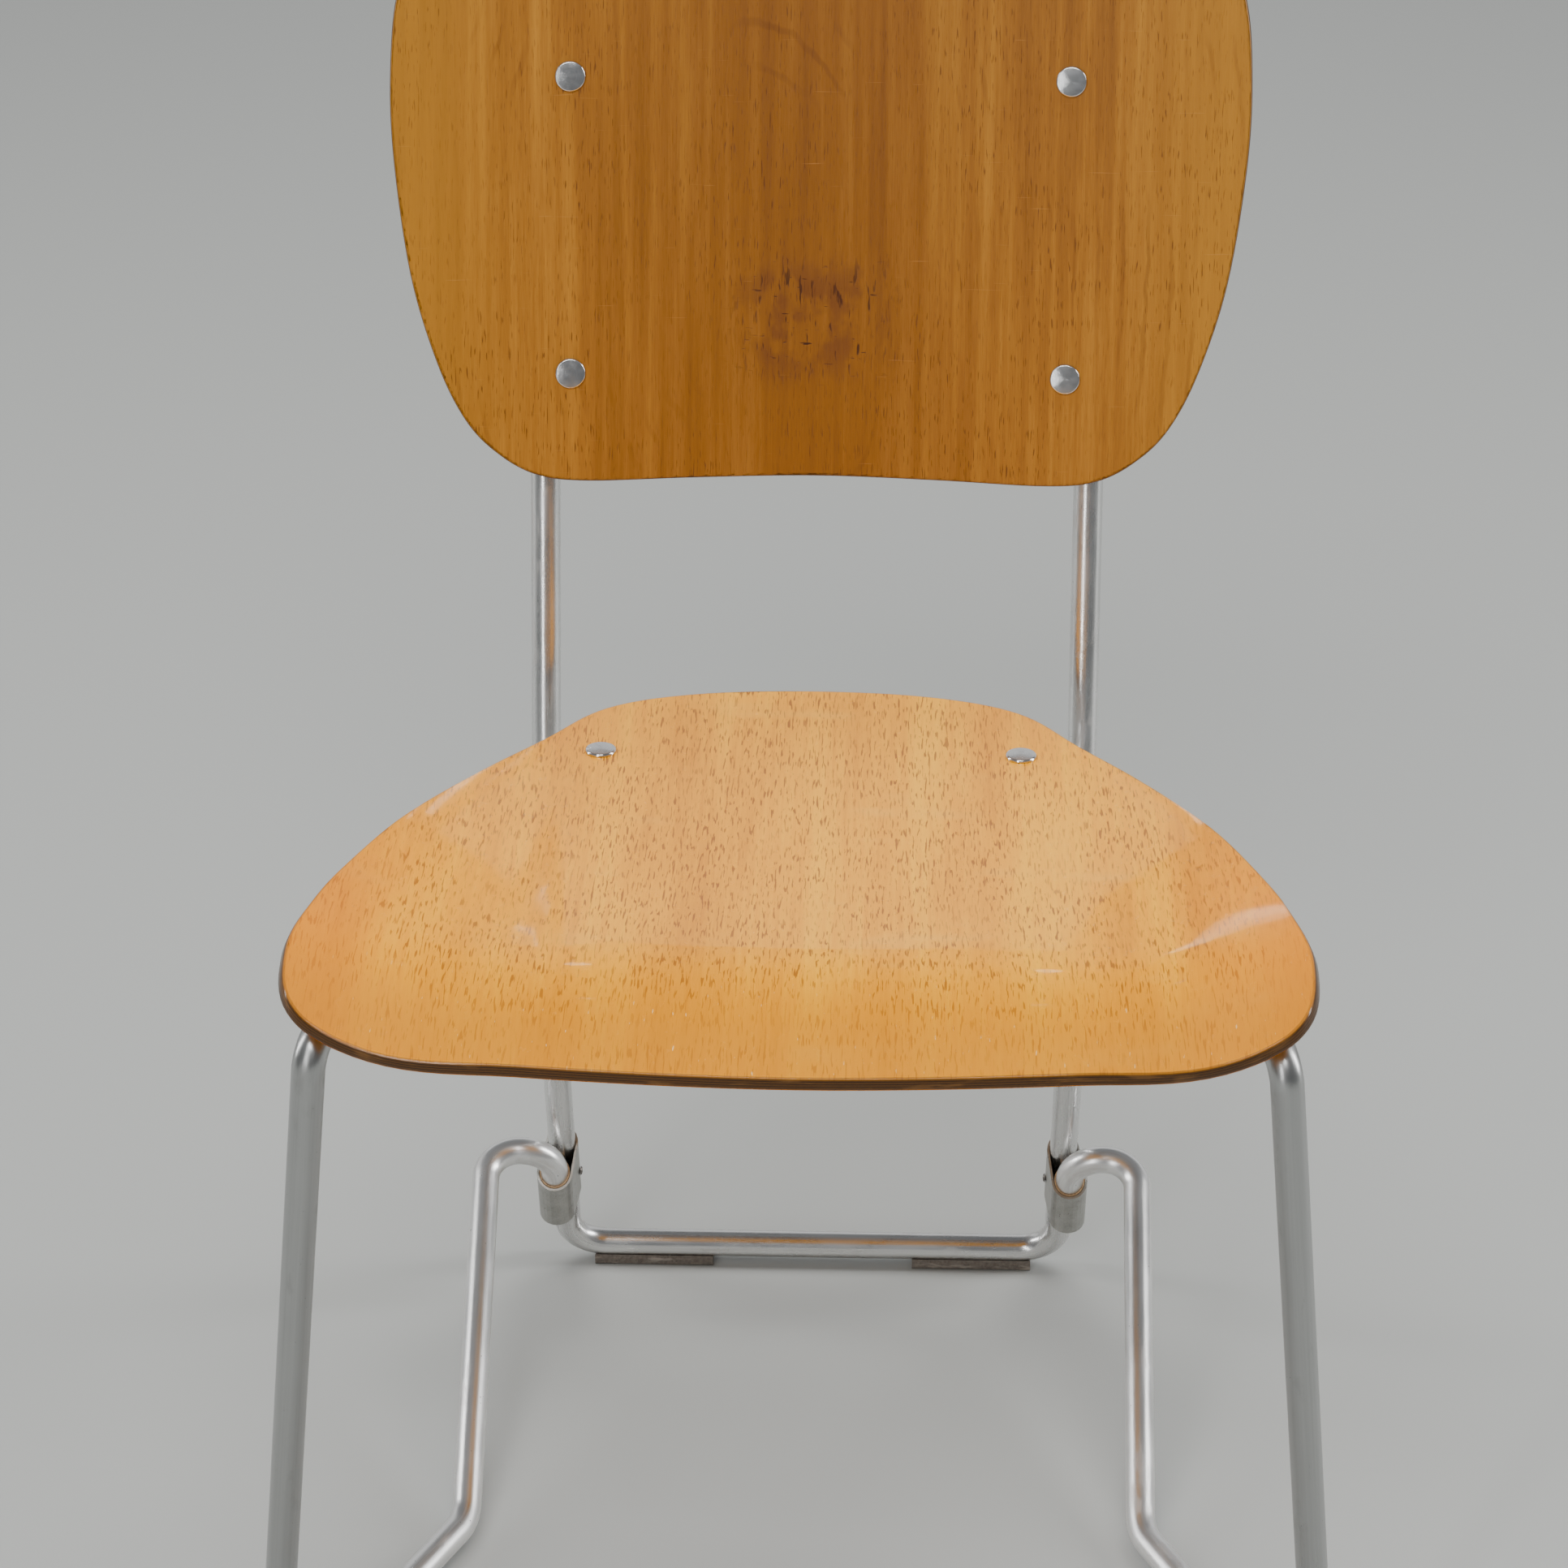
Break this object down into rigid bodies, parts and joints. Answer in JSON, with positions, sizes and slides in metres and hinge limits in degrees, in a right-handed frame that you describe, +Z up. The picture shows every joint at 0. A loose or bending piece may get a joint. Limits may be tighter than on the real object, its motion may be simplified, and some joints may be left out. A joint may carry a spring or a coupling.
{
  "type": "folding side chair",
  "caption": "Folding side chair: moulded plywood seat and backrest on a bent aluminium tube frame, with side frames hinged on pins in riveted collars.",
  "frame": {"origin": "on the floor, in the middle of the chair's overall box", "axes": "+Z up, the front of the chair looks along -Y, +X is to the right seen from the front"},
  "size_m": [0.5174, 0.5541, 0.8121],
  "materials": {
    "aluminium_tube": "satin drawn tube, worn and lightly scratched",
    "aluminium_sheet": "satin pressed sheet",
    "aluminium_rivet": "bright, turned heads",
    "steel": "dark steel",
    "fibre_bush": "light brown liner",
    "seat_plywood": "clear lacquered beech plywood, honey colour, worn",
    "back_plywood": "clear lacquered plywood, darker amber, streaked and scuffed",
    "rubber": "dull dark rubber"
  },
  "bodies": {
    "rear_frame_body": {"back_clip_lower_left": "aluminium_sheet", "back_clip_lower_right": "aluminium_sheet", "back_clip_upper_left": "aluminium_sheet", "back_clip_upper_right": "aluminium_sheet", "back_rivet_lower_left": "aluminium_rivet", "back_rivet_lower_right": "aluminium_rivet", "back_rivet_upper_left": "aluminium_rivet", "back_rivet_upper_right": "aluminium_rivet", "backrest_panel": "back_plywood", "bearer_bolt_left": "steel", "bearer_bolt_right": "steel", "bearer_bracket_left": "aluminium_sheet", "bearer_bracket_right": "aluminium_sheet", "bearer_plug_left": "aluminium_sheet", "bearer_plug_right": "aluminium_sheet", "bracket_rivet_1_left": "aluminium_rivet", "bracket_rivet_1_right": "aluminium_rivet", "bracket_rivet_2_left": "aluminium_rivet", "bracket_rivet_2_right": "aluminium_rivet", "lower_bush_left": "fibre_bush", "lower_bush_right": "fibre_bush", "lower_collar_left": "aluminium_sheet", "lower_collar_right": "aluminium_sheet", "lower_collar_rivet_left": "steel", "lower_collar_rivet_right": "steel", "rear_foot_pad_left": "rubber", "rear_foot_pad_right": "rubber", "rear_frame": "aluminium_tube", "seat_bearer": "aluminium_tube", "upper_bush_left": "fibre_bush", "upper_bush_right": "fibre_bush", "upper_collar_left": "aluminium_sheet", "upper_collar_right": "aluminium_sheet", "upper_collar_rivet_left": "steel", "upper_collar_rivet_right": "steel", "upright_cap_left": "rubber", "upright_cap_right": "rubber"},
    "seat_body": {"buffer_screw_left": "steel", "buffer_screw_right": "steel", "seat_buffer_left": "rubber", "seat_buffer_right": "rubber", "seat_clip_left": "aluminium_sheet", "seat_clip_right": "aluminium_sheet", "seat_panel": "seat_plywood", "seat_rivet_left": "aluminium_rivet", "seat_rivet_right": "aluminium_rivet"},
    "side_body_left": {"front_foot_pad_left": "rubber", "pin_plug_lower_left": "rubber", "pin_plug_upper_left": "rubber", "side_frame_left": "aluminium_tube"},
    "side_body_right": {"front_foot_pad_right": "rubber", "pin_plug_lower_right": "rubber", "pin_plug_upper_right": "rubber", "side_frame_right": "aluminium_tube"}
  },
  "joints": [
    {"name": "seat_fold", "type": "hinge", "parent": "rear_frame_body", "child": "seat_body", "pos_m": [0, 0.0871, 0.3948], "axis": [-1, 0, 0], "range_deg": [0, 100]},
    {"name": "side_fold_left", "type": "hinge", "parent": "rear_frame_body", "child": "side_body_left", "pos_m": [-0.1419, 0.11623, 0.26108], "axis": [0, -0.3697, 0.9291], "range_deg": [0, 35]},
    {"name": "side_fold_right", "type": "hinge", "parent": "rear_frame_body", "child": "side_body_right", "pos_m": [0.1419, 0.11623, 0.26108], "axis": [0, 0.3697, -0.9291], "range_deg": [0, 35]}
  ],
  "couplings": [
    {"joint": "side_fold_left", "follows": "seat_fold", "ratio": 0.34},
    {"joint": "side_fold_right", "follows": "seat_fold", "ratio": 0.34}
  ]
}
